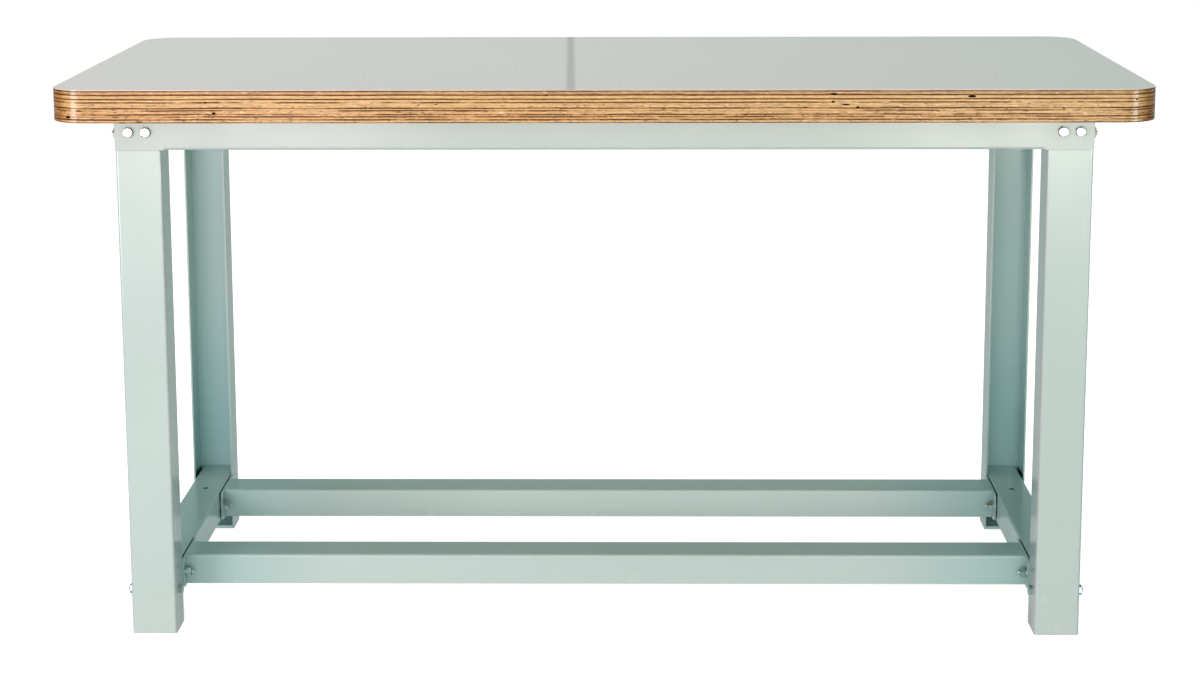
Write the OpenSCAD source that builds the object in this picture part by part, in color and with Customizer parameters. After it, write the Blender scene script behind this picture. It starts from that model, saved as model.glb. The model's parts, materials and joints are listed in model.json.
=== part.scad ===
// Modular workbench: laminated plywood top on a bolted frame of folded sheet steel.
// Millimetres, +Z up, +Y towards the back. The origin is on the floor, under the middle of the bench.

/* [Bench] */
// Width of the worktop, left to right
bench_w = 1500; // [1100:10:2400]
// Depth of the worktop, front to back
bench_d = 750; // [650:10:1000]
// Height of the working surface above the floor
bench_h = 790; // [600:5:1100]
// Overhang of the worktop past the frame at the left and at the right
overhang_x = 75; // [20:5:150]
// Overhang of the worktop past the frame at the front and at the back
overhang_y = 75; // [20:5:110]

/* [Worktop] */
// Thickness of the plywood board
board_t = 44; // [38:1:60]
// Thickness of the laminate sheet on top
laminate_t = 1; // [0.6:0.1:3]
// Radius of the worktop's corners, seen from above
corner_r = 50; // [5:1:120]

/* [Sheet steel] */
// Thickness of the folded sheet
sheet_t = 2.5; // [1.5:0.1:3.5]
// Outside radius of the folds
fold_r = 4; // [3.6:0.1:5]
// Gap left between pieces that slide into each other
fit_gap = 0.3; // [0.1:0.1:0.5]

/* [Legs] */
// Width of a leg's web
leg_w = 63; // [60:1:90]
// Depth of a leg's flanges, web included
leg_d = 60; // [52:1:80]
// Thickness of the plate in a leg's foot
foot_plate_t = 5; // [3:1:12]
// Diameter of the floor fixing hole in a foot plate
anchor_hole_d = 11; // [6:0.5:14]

/* [Top rails] */
// Height of the front and back rails
rail_h = 47; // [42:1:80]
// Depth of a rail's top flange
rail_flange_d = 40; // [36:1:60]
// Depth of a rail's bottom lip
rail_lip_d = 20; // [10:1:30]
// Height of the side rails
side_rail_h = 44; // [38:1:60]
// Distance from the board down to the bolts of the rails
rail_bolt_drop = 22; // [20:1:24]
// Distance from the board down to the upper leg bolts
leg_bolt_drop = 28; // [24:1:30]
// Distance between the two bolts at a rail's end
rail_bolt_pitch = 24; // [20:1:26]

/* [Stretchers] */
// Height of the stretchers' top faces above the floor
stretcher_top_z = 92; // [80:1:300]
// Height of the stretchers' sides
stretcher_h = 44; // [38:1:60]
// Width of the long stretchers
long_stretcher_w = 68; // [50:1:90]
// Distance from a leg's flange back to the nearest end plate
end_plate_setback = 2.5; // [1:0.5:30]
// Thickness of the end plates
end_plate_t = 3; // [2:0.5:6]
// Length of the ears of an end plate past the stretcher
ear_l = 24; // [20:1:32]
// Radius of the ears' corners
ear_r = 8; // [2:1:12]
// Diameter of the shelf fixing holes in the side stretchers
shelf_hole_d = 9; // [5:0.5:12]
// Distance between the front and the back shelf fixing hole
shelf_hole_pitch = 300; // [200:10:320]

/* [Fasteners] */
// Thread diameter of the bolts
bolt_d = 8; // [6:0.5:9]
// How much wider a bolt's hole is than the bolt
bolt_play = 1; // [0.4:0.1:1.5]
// Width of a bolt head or nut across its flats
head_af = 13; // [12:0.5:14]
// Height of a bolt head
head_h = 5.3; // [4:0.1:7]
// Height of a nut
nut_h = 6.5; // [5:0.1:7]
// Outside diameter of a washer
washer_d = 16; // [14.5:0.5:17]
// Thickness of a washer
washer_t = 1.6; // [1:0.1:2]
// Length of thread past the nut of a rail bolt or leg bolt
thread_tip = 2; // [1:0.5:4]
// Length of thread past the nut of an end plate bolt
ear_thread_tip = 4; // [2:0.5:12]
// Thickness of the spacers between a leg and the side members in it
spacer_t = 4; // [2:0.5:6]
// Outside diameter of the spacers
spacer_d = 14; // [12:0.5:15]
// Distance from a leg's web back to its long bolts
leg_bolt_inset = 33; // [30:1:38]
// Height of the lower leg bolts above the stretchers' bottom edge
leg_bolt_rise = 9; // [8:1:20]

/* [Worktop screws] */
// Screws through the front rail, and as many through the back rail
screws_per_rail = 4; // [2:1:8]
// Distance from the rail's end to its first screw
screw_end = 90; // [60:5:200]
// Distance from a rail's face back to its screws
screw_inset = 24; // [18:1:26]
// Distance between the two screws of a side rail
side_screw_pitch = 240; // [100:10:300]
// Diameter of a screw's shank
screw_d = 6; // [4:0.5:7]
// Width of a screw head across its flats
screw_af = 10; // [8:0.5:12]
// Height of a screw head
screw_head_h = 4; // [3:0.5:6]
// Length of a screw in the board
screw_bite = 30; // [20:1:34]

/* [Hidden] */

$fn = 64;
LEFT = -1;
RIGHT = 1;
FRONT = -1;
BACK = 1;
SIDES = [-1, 1];

PAINT = [0.80, 0.87, 0.83];
PLY = [0.80, 0.63, 0.40];
LAMINATE = [0.78, 0.79, 0.76];
ZINC = [0.86, 0.86, 0.84];
SCREW_STEEL = [0.55, 0.55, 0.56];

// Depth that a cutting shape runs past the face that it cuts
cut = 1;
hole_d = bolt_d + bolt_play;
screw_hole_d = screw_d + bolt_play;
// How much wider a pilot hole or a nut's bore is than the thread in it
thread_play = 0.1;
pilot_d = screw_d + thread_play;
pilot_extra = 2;

frame_w = bench_w - 2 * overhang_x;
frame_d = bench_d - 2 * overhang_y;
frame_top_z = bench_h - laminate_t - board_t;
leg_x = frame_w / 2 - leg_w / 2;
leg_face_y = frame_d / 2 - sheet_t;
between_legs = frame_w - 2 * leg_w;

// The side rails and side stretchers lie in the legs, against their inner flanges
side_w = leg_w - 2 * sheet_t - spacer_t;
side_inner_x = between_legs / 2 + sheet_t;
side_x = side_inner_x + side_w / 2;
side_end_y = leg_face_y - fold_r - fit_gap;
stretcher_z = stretcher_top_z - stretcher_h;

end_plate_y = leg_face_y - leg_d - end_plate_setback;
long_outer_y = end_plate_y - ear_l;
long_y = long_outer_y - long_stretcher_w / 2;
end_plate_x = side_inner_x - washer_t;
long_l = 2 * (end_plate_x - end_plate_t);
end_plate_l = long_stretcher_w + 2 * ear_l;
ear_bolt_y = long_stretcher_w / 2 + ear_l / 2;
stretcher_mid_z = stretcher_z + stretcher_h / 2;

rail_bolt_z = frame_top_z - rail_bolt_drop;
upper_leg_bolt_z = frame_top_z - leg_bolt_drop;
lower_leg_bolt_z = stretcher_z + leg_bolt_rise;
screw_span = between_legs - 2 * screw_end;

// A flat block, w wide and d deep, with round corners along y = 0
module folded_block(w, d, r) {
    translate([-w / 2 + r, 0]) square([w - 2 * r, d]);
    translate([-w / 2, r]) square([w, d - r]);
    for (s = SIDES) translate([s * (w / 2 - r), r]) circle(r);
}

// Section of a folded channel: its web lies along y = 0 and its flanges run to y = d
module channel_2d(w, d) {
    difference() {
        folded_block(w, d, fold_r);
        translate([0, sheet_t]) folded_block(w - 2 * sheet_t, d, fold_r - sheet_t);
    }
}

// Section of a front or back rail: its web lies along x = 0, its flange at the top, its lip at the bottom
module rail_2d() {
    difference() {
        translate([0, -rail_h / 2]) rotate(90) mirror([0, 1, 0]) channel_2d(rail_h, rail_flange_d);
        translate([rail_lip_d, -rail_h - cut]) square([rail_flange_d, rail_h / 2]);
    }
}

// Moves what is drawn for the front right corner to any corner of the frame.
// There, x runs outwards from the middle of the leg and y inwards from its web.
module at_corner(sx, sy) {
    mirror([sx < 0 ? 1 : 0, 0, 0]) mirror([0, sy > 0 ? 1 : 0, 0])
        translate([leg_x, -leg_face_y, 0]) children();
}

// Moves what is drawn for the right-hand end plate of the front stretcher to any of the four.
// There, x runs outwards from the plate's outer face, which washers keep clear of the side stretcher.
module at_end_plate(sx, sy) {
    mirror([sx < 0 ? 1 : 0, 0, 0]) mirror([0, sy > 0 ? 1 : 0, 0])
        translate([end_plate_x, -long_y, 0]) children();
}

module at_every_corner() {
    for (sx = SIDES) for (sy = SIDES) at_corner(sx, sy) children();
}

module at_every_end_plate() {
    for (sx = SIDES) for (sy = SIDES) at_end_plate(sx, sy) children();
}

// A round bar along x, from x0 to x1
module bar_x(d, x0, x1) {
    translate([x0, 0, 0]) rotate([0, 90, 0]) cylinder(d = d, h = x1 - x0);
}

// A round bar along y, from y0 to y1
module bar_y(d, y0, y1) {
    translate([0, y0, 0]) rotate([-90, 0, 0]) cylinder(d = d, h = y1 - y0);
}

// A six-sided head or nut along z, af wide across its flats
module hexagon(af, h) {
    cylinder(d = af / cos(30), h = h, $fn = 6);
}

// A bolt along z: its head lies under z = 0 and its shank runs up to z = l
module hex_bolt(l) {
    translate([0, 0, -head_h]) hexagon(head_af, head_h);
    translate([0, 0, -head_h / 2]) cylinder(d = bolt_d, h = l + head_h / 2);
}

// A nut, washer or spacer along z, from z = 0 up, that is clear of the bolt through it
module hex_nut() {
    difference() {
        hexagon(head_af, nut_h);
        translate([0, 0, -cut]) cylinder(d = bolt_d + thread_play, h = nut_h + 2 * cut);
    }
}

module ring(d, h) {
    difference() {
        cylinder(d = d, h = h);
        translate([0, 0, -cut]) cylinder(d = bolt_d + bolt_play / 2, h = h + 2 * cut);
    }
}

module worktop_outline() {
    w = bench_w - 2 * corner_r;
    d = bench_d - 2 * corner_r;
    square([bench_w, d], center = true);
    square([w, bench_d], center = true);
    for (sx = SIDES) for (sy = SIDES) translate([sx * w / 2, sy * d / 2]) circle(corner_r, $fn = 128);
}

// Where the screws come up through the rails, each at the board's underside
module at_every_screw() {
    for (sy = SIDES) for (i = [0 : screws_per_rail - 1])
        translate([-screw_span / 2 + i * screw_span / (screws_per_rail - 1),
                   sy * (frame_d / 2 - screw_inset), frame_top_z]) children();
    for (sx = SIDES) for (sy = SIDES)
        translate([sx * side_x, sy * side_screw_pitch / 2, frame_top_z]) children();
}

module screw_holes() {
    at_every_screw() translate([0, 0, -sheet_t - cut]) cylinder(d = screw_hole_d, h = sheet_t + 2 * cut);
}

module worktop_core() {
    color(PLY) difference() {
        translate([0, 0, frame_top_z]) linear_extrude(board_t) worktop_outline();
        at_every_screw() translate([0, 0, -cut]) cylinder(d = pilot_d, h = screw_bite + pilot_extra + cut);
    }
}

module worktop_laminate() {
    color(LAMINATE) translate([0, 0, frame_top_z + board_t]) linear_extrude(laminate_t) worktop_outline();
}

module rail_bolt_places() {
    for (s = SIDES) translate([s * rail_bolt_pitch / 2, 0, rail_bolt_z]) children();
}

module leg_bolt_places() {
    for (z = [lower_leg_bolt_z, upper_leg_bolt_z]) translate([0, leg_bolt_inset, z]) children();
}

module leg(sx, sy) {
    color(PAINT) at_corner(sx, sy) difference() {
        linear_extrude(frame_top_z) channel_2d(leg_w, leg_d);
        rail_bolt_places() bar_y(hole_d, -cut, sheet_t + cut);
        leg_bolt_places() bar_x(hole_d, -leg_w / 2 - cut, leg_w / 2 + cut);
    }
}

module foot_plate(sx, sy) {
    inner_w = leg_w - 2 * sheet_t - 2 * fit_gap;
    inner_d = leg_d - sheet_t - fit_gap;
    color(PAINT) at_corner(sx, sy) translate([0, sheet_t + fit_gap, 0]) difference() {
        linear_extrude(foot_plate_t) folded_block(inner_w, inner_d, fold_r);
        translate([0, inner_d / 2, -cut]) cylinder(d = anchor_hole_d, h = foot_plate_t + 2 * cut);
    }
}

// A front or back rail: its flange and lip stop at the legs, and its web laps over them
module long_rail(sy) {
    flange_l = between_legs - 2 * fit_gap;
    color(PAINT) difference() {
        mirror([0, sy > 0 ? 1 : 0, 0]) translate([0, -frame_d / 2, frame_top_z]) {
            translate([-flange_l / 2, 0, 0]) rotate([90, 0, 90]) linear_extrude(flange_l) rail_2d();
            for (sx = SIDES) mirror([sx < 0 ? 1 : 0, 0, 0]) translate([flange_l / 2 - cut, 0, -rail_h])
                cube([(frame_w - flange_l) / 2 + cut, sheet_t, rail_h]);
        }
        for (sx = SIDES) at_corner(sx, sy) rail_bolt_places() bar_y(hole_d, -sheet_t - cut, cut);
        screw_holes();
    }
}

// A channel that lies open side down in a front and a back leg, its top face at z = top_z
module side_channel(sx, h, top_z) {
    translate([sx * side_x, side_end_y, top_z]) rotate([90, 0, 0])
        linear_extrude(2 * side_end_y) mirror([0, 1, 0]) channel_2d(side_w, h);
}

module side_rail(sx) {
    color(PAINT) difference() {
        side_channel(sx, side_rail_h, frame_top_z);
        for (sy = SIDES) at_corner(sx, sy) translate([0, leg_bolt_inset, upper_leg_bolt_z])
            bar_x(hole_d, -leg_w / 2, leg_w / 2);
        screw_holes();
    }
}

module side_stretcher(sx) {
    color(PAINT) difference() {
        side_channel(sx, stretcher_h, stretcher_top_z);
        for (sy = SIDES) at_corner(sx, sy) translate([0, leg_bolt_inset, lower_leg_bolt_z])
            bar_x(hole_d, -leg_w / 2, leg_w / 2);
        for (sy = SIDES) at_end_plate(sx, sy) ear_bolt_places() bar_x(hole_d, 0, washer_t + sheet_t + cut);
        for (sy = SIDES) translate([sx * side_x, sy * shelf_hole_pitch / 2, stretcher_top_z - sheet_t - cut])
            cylinder(d = shelf_hole_d, h = sheet_t + 2 * cut);
    }
}

module long_stretcher(sy) {
    color(PAINT) translate([-long_l / 2, sy * long_y, stretcher_top_z]) rotate([90, 0, 90])
        linear_extrude(long_l) mirror([0, 1, 0]) channel_2d(long_stretcher_w, stretcher_h);
}

module ear_bolt_places() {
    for (s = SIDES) translate([0, s * ear_bolt_y, stretcher_mid_z]) children();
}

module end_plate(sx, sy) {
    flat_l = end_plate_l - 2 * ear_r;
    flat_h = stretcher_h - 2 * ear_r;
    color(PAINT) at_end_plate(sx, sy) difference() {
        translate([-end_plate_t, 0, stretcher_mid_z]) rotate([90, 0, 90]) linear_extrude(end_plate_t) {
            square([end_plate_l, flat_h], center = true);
            square([flat_l, stretcher_h], center = true);
            for (u = SIDES) for (v = SIDES) translate([u * flat_l / 2, v * flat_h / 2]) circle(ear_r);
        }
        ear_bolt_places() bar_x(hole_d, -end_plate_t - cut, cut);
    }
}

// A rail bolt's head lies on the rail; its washer and nut are behind the leg's web
module rail_bolts() {
    l = 2 * sheet_t + washer_t + nut_h + thread_tip;
    color(ZINC) at_every_corner() rail_bolt_places() translate([0, -sheet_t, 0]) rotate([-90, 0, 0]) hex_bolt(l);
}

module rail_washers() {
    color(ZINC) at_every_corner() rail_bolt_places() translate([0, sheet_t, 0]) rotate([-90, 0, 0])
        ring(washer_d, washer_t);
}

module rail_nuts() {
    color(ZINC) at_every_corner() rail_bolt_places() translate([0, sheet_t + washer_t, 0]) rotate([-90, 0, 0])
        hex_nut();
}

// A leg bolt goes through the whole leg: its head is inside the bench and its nut is outside
module leg_bolts() {
    l = leg_w + washer_t + nut_h + thread_tip;
    color(ZINC) at_every_corner() leg_bolt_places() translate([-leg_w / 2, 0, 0])
        rotate([0, 90, 0]) hex_bolt(l);
}

module leg_bolt_washers() {
    color(ZINC) at_every_corner() leg_bolt_places() translate([leg_w / 2, 0, 0])
        rotate([0, 90, 0]) ring(washer_d, washer_t);
}

module leg_bolt_nuts() {
    color(ZINC) at_every_corner() leg_bolt_places() translate([leg_w / 2 + washer_t, 0, 0])
        rotate([0, 90, 0]) hex_nut();
}

module leg_spacers() {
    color(ZINC) at_every_corner() leg_bolt_places() translate([leg_w / 2 - sheet_t, 0, 0])
        rotate([0, -90, 0]) ring(spacer_d, spacer_t);
}

// An end plate's bolt comes out of the side stretcher, and its nut is on the ear
module end_plate_bolts() {
    l = sheet_t + end_plate_t + 2 * washer_t + nut_h + ear_thread_tip;
    color(ZINC) at_every_end_plate() ear_bolt_places() translate([washer_t + sheet_t, 0, 0])
        rotate([0, -90, 0]) hex_bolt(l);
}

// The washers that keep an end plate clear of its side stretcher
module end_plate_spacers() {
    color(ZINC) at_every_end_plate() ear_bolt_places() rotate([0, 90, 0]) ring(washer_d, washer_t);
}

module end_plate_washers() {
    color(ZINC) at_every_end_plate() ear_bolt_places() translate([-end_plate_t, 0, 0])
        rotate([0, -90, 0]) ring(washer_d, washer_t);
}

module end_plate_nuts() {
    color(ZINC) at_every_end_plate() ear_bolt_places() translate([-end_plate_t - washer_t, 0, 0])
        rotate([0, -90, 0]) hex_nut();
}

module worktop_screws() {
    color(SCREW_STEEL) at_every_screw() translate([0, 0, -sheet_t]) {
        translate([0, 0, -screw_head_h]) hexagon(screw_af, screw_head_h);
        translate([0, 0, -screw_head_h / 2]) cylinder(d = screw_d, h = screw_head_h / 2 + sheet_t + screw_bite);
    }
}

worktop_core();
worktop_laminate();
leg(LEFT, FRONT);  // leg_front_left
leg(RIGHT, FRONT);  // leg_front_right
leg(LEFT, BACK);  // leg_back_left
leg(RIGHT, BACK);  // leg_back_right
foot_plate(LEFT, FRONT);  // foot_plate_front_left
foot_plate(RIGHT, FRONT);  // foot_plate_front_right
foot_plate(LEFT, BACK);  // foot_plate_back_left
foot_plate(RIGHT, BACK);  // foot_plate_back_right
long_rail(FRONT);  // top_rail_front
long_rail(BACK);  // top_rail_back
side_rail(LEFT);  // top_rail_left
side_rail(RIGHT);  // top_rail_right
side_stretcher(LEFT);  // side_stretcher_left
side_stretcher(RIGHT);  // side_stretcher_right
long_stretcher(FRONT);  // long_stretcher_front
long_stretcher(BACK);  // long_stretcher_back
end_plate(LEFT, FRONT);  // end_plate_front_left
end_plate(RIGHT, FRONT);  // end_plate_front_right
end_plate(LEFT, BACK);  // end_plate_back_left
end_plate(RIGHT, BACK);  // end_plate_back_right
rail_bolts();
rail_washers();
rail_nuts();
leg_bolts();
leg_bolt_washers();
leg_bolt_nuts();
leg_spacers();
end_plate_bolts();
end_plate_spacers();
end_plate_washers();
end_plate_nuts();
worktop_screws();
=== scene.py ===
"""Modular workbench: its visible model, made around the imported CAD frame, with a plain studio."""

import functools
import json
import math
import random

import bmesh
import bpy
from mathutils import Matrix, Vector


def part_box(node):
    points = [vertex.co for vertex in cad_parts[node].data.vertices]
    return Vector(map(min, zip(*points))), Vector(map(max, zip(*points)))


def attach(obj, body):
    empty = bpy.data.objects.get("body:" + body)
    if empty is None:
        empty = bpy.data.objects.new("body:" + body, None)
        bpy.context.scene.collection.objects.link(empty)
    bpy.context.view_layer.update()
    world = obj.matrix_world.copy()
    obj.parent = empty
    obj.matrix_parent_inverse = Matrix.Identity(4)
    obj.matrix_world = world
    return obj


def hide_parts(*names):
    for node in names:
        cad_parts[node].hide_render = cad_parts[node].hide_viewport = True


bl_info = {
    "name": "Modular workbench",
    "version": (1, 0, 0),
    "blender": (4, 5, 0),
    "location": "View3D > Sidebar > Workbench",
    "description": "Makes a plywood and sheet steel workbench piece by piece",
    "category": "Object",
}

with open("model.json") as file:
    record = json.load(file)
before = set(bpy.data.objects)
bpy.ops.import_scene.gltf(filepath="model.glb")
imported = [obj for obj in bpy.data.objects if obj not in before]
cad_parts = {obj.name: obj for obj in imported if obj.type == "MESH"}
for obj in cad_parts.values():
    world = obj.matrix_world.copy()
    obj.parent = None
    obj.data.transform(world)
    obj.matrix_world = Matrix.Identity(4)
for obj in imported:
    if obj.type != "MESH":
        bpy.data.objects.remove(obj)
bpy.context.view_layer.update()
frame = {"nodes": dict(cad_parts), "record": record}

MM = 0.001
X, Y, Z = range(3)
AXES = [Vector((1, 0, 0)), Vector((0, 1, 0)), Vector((0, 0, 1))]
Z_UP = AXES[Z]
SIDES = (-1, 1)
ENDS = ("front", "back")
HANDS = ("left", "right")
CORNERS = ((-1, -1), (1, -1), (1, 1), (-1, 1))
BOLT_NODES = ("rail_bolts", "leg_bolts", "end_plate_bolts")
SCREW_NODE = "worktop_screws"
NUT_NODES = ("rail_nuts", "leg_bolt_nuts", "end_plate_nuts")
RING_NODES = (
    "rail_washers", "leg_bolt_washers", "leg_spacers", "end_plate_spacers", "end_plate_washers",
)

# Image width of the photograph that the camera is matched to, in pixels, and the camera's sensor in mm
PHOTO_W = 1200
SENSOR_W = 36.0

# Flat sides that make up each round shape
SHANK_SIDES = 24
THREAD_SIDES = 18
CHAMFER_SIDES = 48
RING_SIDES = 40
HOLE_SIDES = 32


# Sizes and colours that a user would change

def setting(kind, label, description, default, **more):
    """One property of a group."""
    return kind(name=label, description=description, default=default, **more)


a_number = functools.partial(setting, bpy.props.FloatProperty)
a_length = functools.partial(a_number, unit="LENGTH")
a_power = functools.partial(a_number, unit="POWER")
an_angle = functools.partial(a_number, subtype="ANGLE")
a_count = functools.partial(setting, bpy.props.IntProperty)
a_colour = functools.partial(setting, bpy.props.FloatVectorProperty, subtype="COLOR", size=3)
a_place = functools.partial(setting, bpy.props.FloatVectorProperty, subtype="XYZ", size=3)


class BenchSizes(bpy.types.PropertyGroup):
    """Sizes of the bench that the CAD frame doesn't give."""

    sheet: a_length("Sheet thickness", "Thickness of the folded sheet steel", 2.5 * MM)
    fold: a_length("Fold radius", "Outside radius of the folds", 4 * MM)
    fold_steps: a_count("Fold steps", "Flat strips that make up one fold", 8, min=2)
    play: a_length("Hole play", "How much wider a bolt's hole is than the bolt", 1 * MM)
    corner: a_length("Worktop corner radius", "Radius of the worktop's corners, seen from above", 50 * MM)
    corner_steps: a_count("Worktop corner steps", "Flat strips that make up one worktop corner", 24, min=4)
    arris: a_length("Board edge rounding", "Rounding of the board's lower edge", 1.2 * MM)
    hollow_deep: a_length("Hollow depth", "How far the small hollows go into the board's edge", 4 * MM)
    thread_pitch: a_length("Thread pitch", "Distance between two turns of the bolts' threads", 1.25 * MM)
    ear_corner: a_length("Ear corner radius", "Radius of the end plates' corners", 8 * MM)


class BenchColours(bpy.types.PropertyGroup):
    """Colours of the bench's finishes."""

    paint: a_colour("Paint", "Powder coat on the steel", (0.445, 0.57, 0.525))
    laminate: a_colour("Laminate", "Sheet on top of the board", (0.85, 0.76, 0.72))
    laminate_core: a_colour("Laminate core", "Core in the laminate's cut edge", (0.55, 0.43, 0.30))
    wood_light: a_colour("Light ply", "Palest colour of the plies", (0.64, 0.42, 0.165))
    wood_dark: a_colour("Dark ply", "Darkest colour of the plies", (0.19, 0.085, 0.022))
    wood_pink: a_colour("Pink tint", "Tint of the pinkish plies", (1.0, 0.80, 0.82))
    chip: a_colour("Torn chips", "Pale fibres in the board's edge", (0.78, 0.60, 0.38))
    glue: a_colour("Glue line", "Dark line between two plies", (0.055, 0.022, 0.007))
    zinc: a_colour("Zinc", "Zinc plate on bolts, nuts and washers", (0.86, 0.87, 0.86))
    floor: a_colour("Floor", "Studio floor", (0.86, 0.86, 0.85))


class StudioSetup(bpy.types.PropertyGroup):
    """Camera and light of the studio."""

    eye: a_place("Camera place", "Where the camera stands", (0.0463, -3.8302, 1.1881))
    tilt: an_angle("Camera tilt", "Angle that the camera looks down", 0.1828)
    turn: an_angle("Camera turn", "Angle that the camera is turned about the vertical", -0.0145)
    roll: an_angle("Camera roll", "Angle that the camera is turned about its own line of sight", 0.0028)
    focal_px: a_number("Focal length", "Focal length in pixels of an image 1200 pixels wide", 2584.0)
    shift: a_number("Camera shift", "Upward shift of the frame, as a share of its width", -0.06)
    sky_back: a_colour("Light from behind", "Soft light from low down behind the bench", (0.35, 0.55, 0.54))
    sky_front: a_colour("Light from the front", "Soft light from low down in front", (1.30, 1.26, 1.28))
    sky_side: a_colour("Light from the sides", "Soft light from low down on both sides", (0.02, 0.02, 0.02))
    sky_top: a_colour("Light from above", "Soft light from overhead", (0.15, 0.25, 0.24))
    sky_low: a_colour("Light from below", "Soft light from under the horizon", (0.68, 0.72, 0.71))
    glow: a_number("Floor glow", "Light that comes through the floor from below", 0.82)
    key: a_power("Left front light", "Power of the soft box in front on the left", 30.0)
    fill: a_power("Right front light", "Power of the small soft box in front on the right", 8.0)
    low: a_power("Low front light", "Power of the long soft box in front, near the floor", 25.0)
    back: a_power("Back light", "Power of the soft box behind on the right", 25.0)
    rim: a_power("Side lights", "Power of the two soft boxes that only gleam on rounded edges", 75.0)
    top: a_power("Top light", "Power of the soft box above", 75.0)


# Node trees

def maths_node(operation, flip=False):
    """A Python operator that adds a Math node, with its two values swapped if flip is set."""
    def work(self, other):
        values = (other, self) if flip else (self, other)
        return self.graph.maths(operation, *values)
    return work


class Signal:
    """One output of a node. Sums with it add Math nodes to its tree."""

    def __init__(self, graph, socket):
        self.graph = graph
        self.socket = socket

    __add__ = maths_node("ADD")
    __radd__ = maths_node("ADD", flip=True)
    __sub__ = maths_node("SUBTRACT")
    __rsub__ = maths_node("SUBTRACT", flip=True)
    __mul__ = maths_node("MULTIPLY")
    __rmul__ = maths_node("MULTIPLY", flip=True)
    __truediv__ = maths_node("DIVIDE")
    __gt__ = maths_node("GREATER_THAN")
    __lt__ = maths_node("LESS_THAN")

    def __abs__(self):
        return self.graph.maths("ABSOLUTE", self)

    def ramp(self, low, high, at_low=0.0, at_high=1.0):
        """Goes smoothly from at_low to at_high while this value goes from low to high."""
        values = {0: self, 1: low, 2: high, 3: at_low, 4: at_high}
        return self.graph.add("ShaderNodeMapRange", values, interpolation_type="SMOOTHSTEP")[0]


class Made:
    """A node that was just added. Its outputs are read by name or number."""

    def __init__(self, graph, node):
        self.graph = graph
        self.node = node

    def __getitem__(self, key):
        return Signal(self.graph, self.node.outputs[key])


class Graph:
    """Adds nodes to one tree."""

    def __init__(self, tree):
        self.tree = tree

    def add(self, kind, values=None, **settings):
        """A new node. Values go to its inputs, a list of them to one input that takes several."""
        node = self.tree.nodes.new(kind)
        for name, value in settings.items():
            setattr(node, name, value)
        for key, value in (values or {}).items():
            self.feed(node.inputs[key], value)
        return Made(self, node)

    def feed(self, socket, value):
        for source in value if isinstance(value, list) else [value]:
            if isinstance(source, Signal):
                self.tree.links.new(source.socket, socket)
            else:
                socket.default_value = source

    def maths(self, operation, *values):
        return self.add("ShaderNodeMath", dict(enumerate(values)), operation=operation)[0]

    def mix(self, share, first, second, blend="MIX"):
        """A colour that goes from the first to the second as share goes from 0 to 1."""
        first, second = (c if isinstance(c, Signal) else (*c, 1.0) for c in (first, second))
        values = {0: share, 6: first, 7: second}
        return self.add("ShaderNodeMix", values, data_type="RGBA", blend_type=blend)[2]

    def noise(self, place, scale, detail=2.0, rough=0.5):
        """Soft noise from 0 to 1, with about scale patches to the metre."""
        values = {"Vector": place, "Scale": scale, "Detail": detail, "Roughness": rough}
        return self.add("ShaderNodeTexNoise", values)["Fac"]

    def vector(self, x, y, z):
        return self.add("ShaderNodeCombineXYZ", {0: x, 1: y, 2: z})[0]

    def split(self, vector):
        made = self.add("ShaderNodeSeparateXYZ", {0: vector})
        return [made[i] for i in range(3)]

    def length(self, vector):
        return self.add("ShaderNodeVectorMath", {0: vector}, operation="LENGTH")["Value"]


# Materials

class Finish(Graph):
    """A material under way: its nodes, its Principled shader and its base colour so far."""

    def __init__(self, name, colour):
        self.material = bpy.data.materials.new(name)
        self.material.use_nodes = True
        super().__init__(self.material.node_tree)
        self.shader = self.tree.nodes["Principled BSDF"]
        self.place = self.add("ShaderNodeTexCoord")["Object"]
        self.colour = colour

    def cover(self, share, colour):
        """Covers the base colour with another, wholly where share is 1."""
        self.colour = self.mix(share, self.colour, colour)

    def tint(self, share, colour):
        """Multiplies the base colour by another, wholly where share is 1."""
        self.colour = self.mix(share, self.colour, colour, "MULTIPLY")

    def texture(self, scale, detail=2.0, rough=0.5):
        """Soft noise that stays with the object."""
        return self.noise(self.place, scale, detail, rough)

    def bump(self, height, distance, strength=1.0):
        """Lets a height from 0 to 1 stand out of the surface by up to distance."""
        values = {"Height": height, "Distance": distance, "Strength": strength}
        self.feed(self.shader.inputs["Normal"], self.add("ShaderNodeBump", values)["Normal"])

    def end(self, **values):
        """Feeds the shader's sockets, such as roughness=..., and returns the material."""
        values["base_color"] = self.colour
        for key, value in values.items():
            socket = self.shader.inputs[key.replace("_", " ").title().replace("Ior", "IOR")]
            if isinstance(value, tuple):
                value = (*value, 1.0)
            self.feed(socket, value)
        return self.material


def dimmed(colour, share):
    return tuple(share * c for c in colour)


def within(value, low, high):
    """1 where a value lies between two limits, else 0."""
    return (value > low) * (value < high)


def in_box(place, low, high):
    """1 where three coordinates lie between those of two corners, else 0."""
    x, y, z = (within(*limits) for limits in zip(place, low, high))
    return x * y * z


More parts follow.
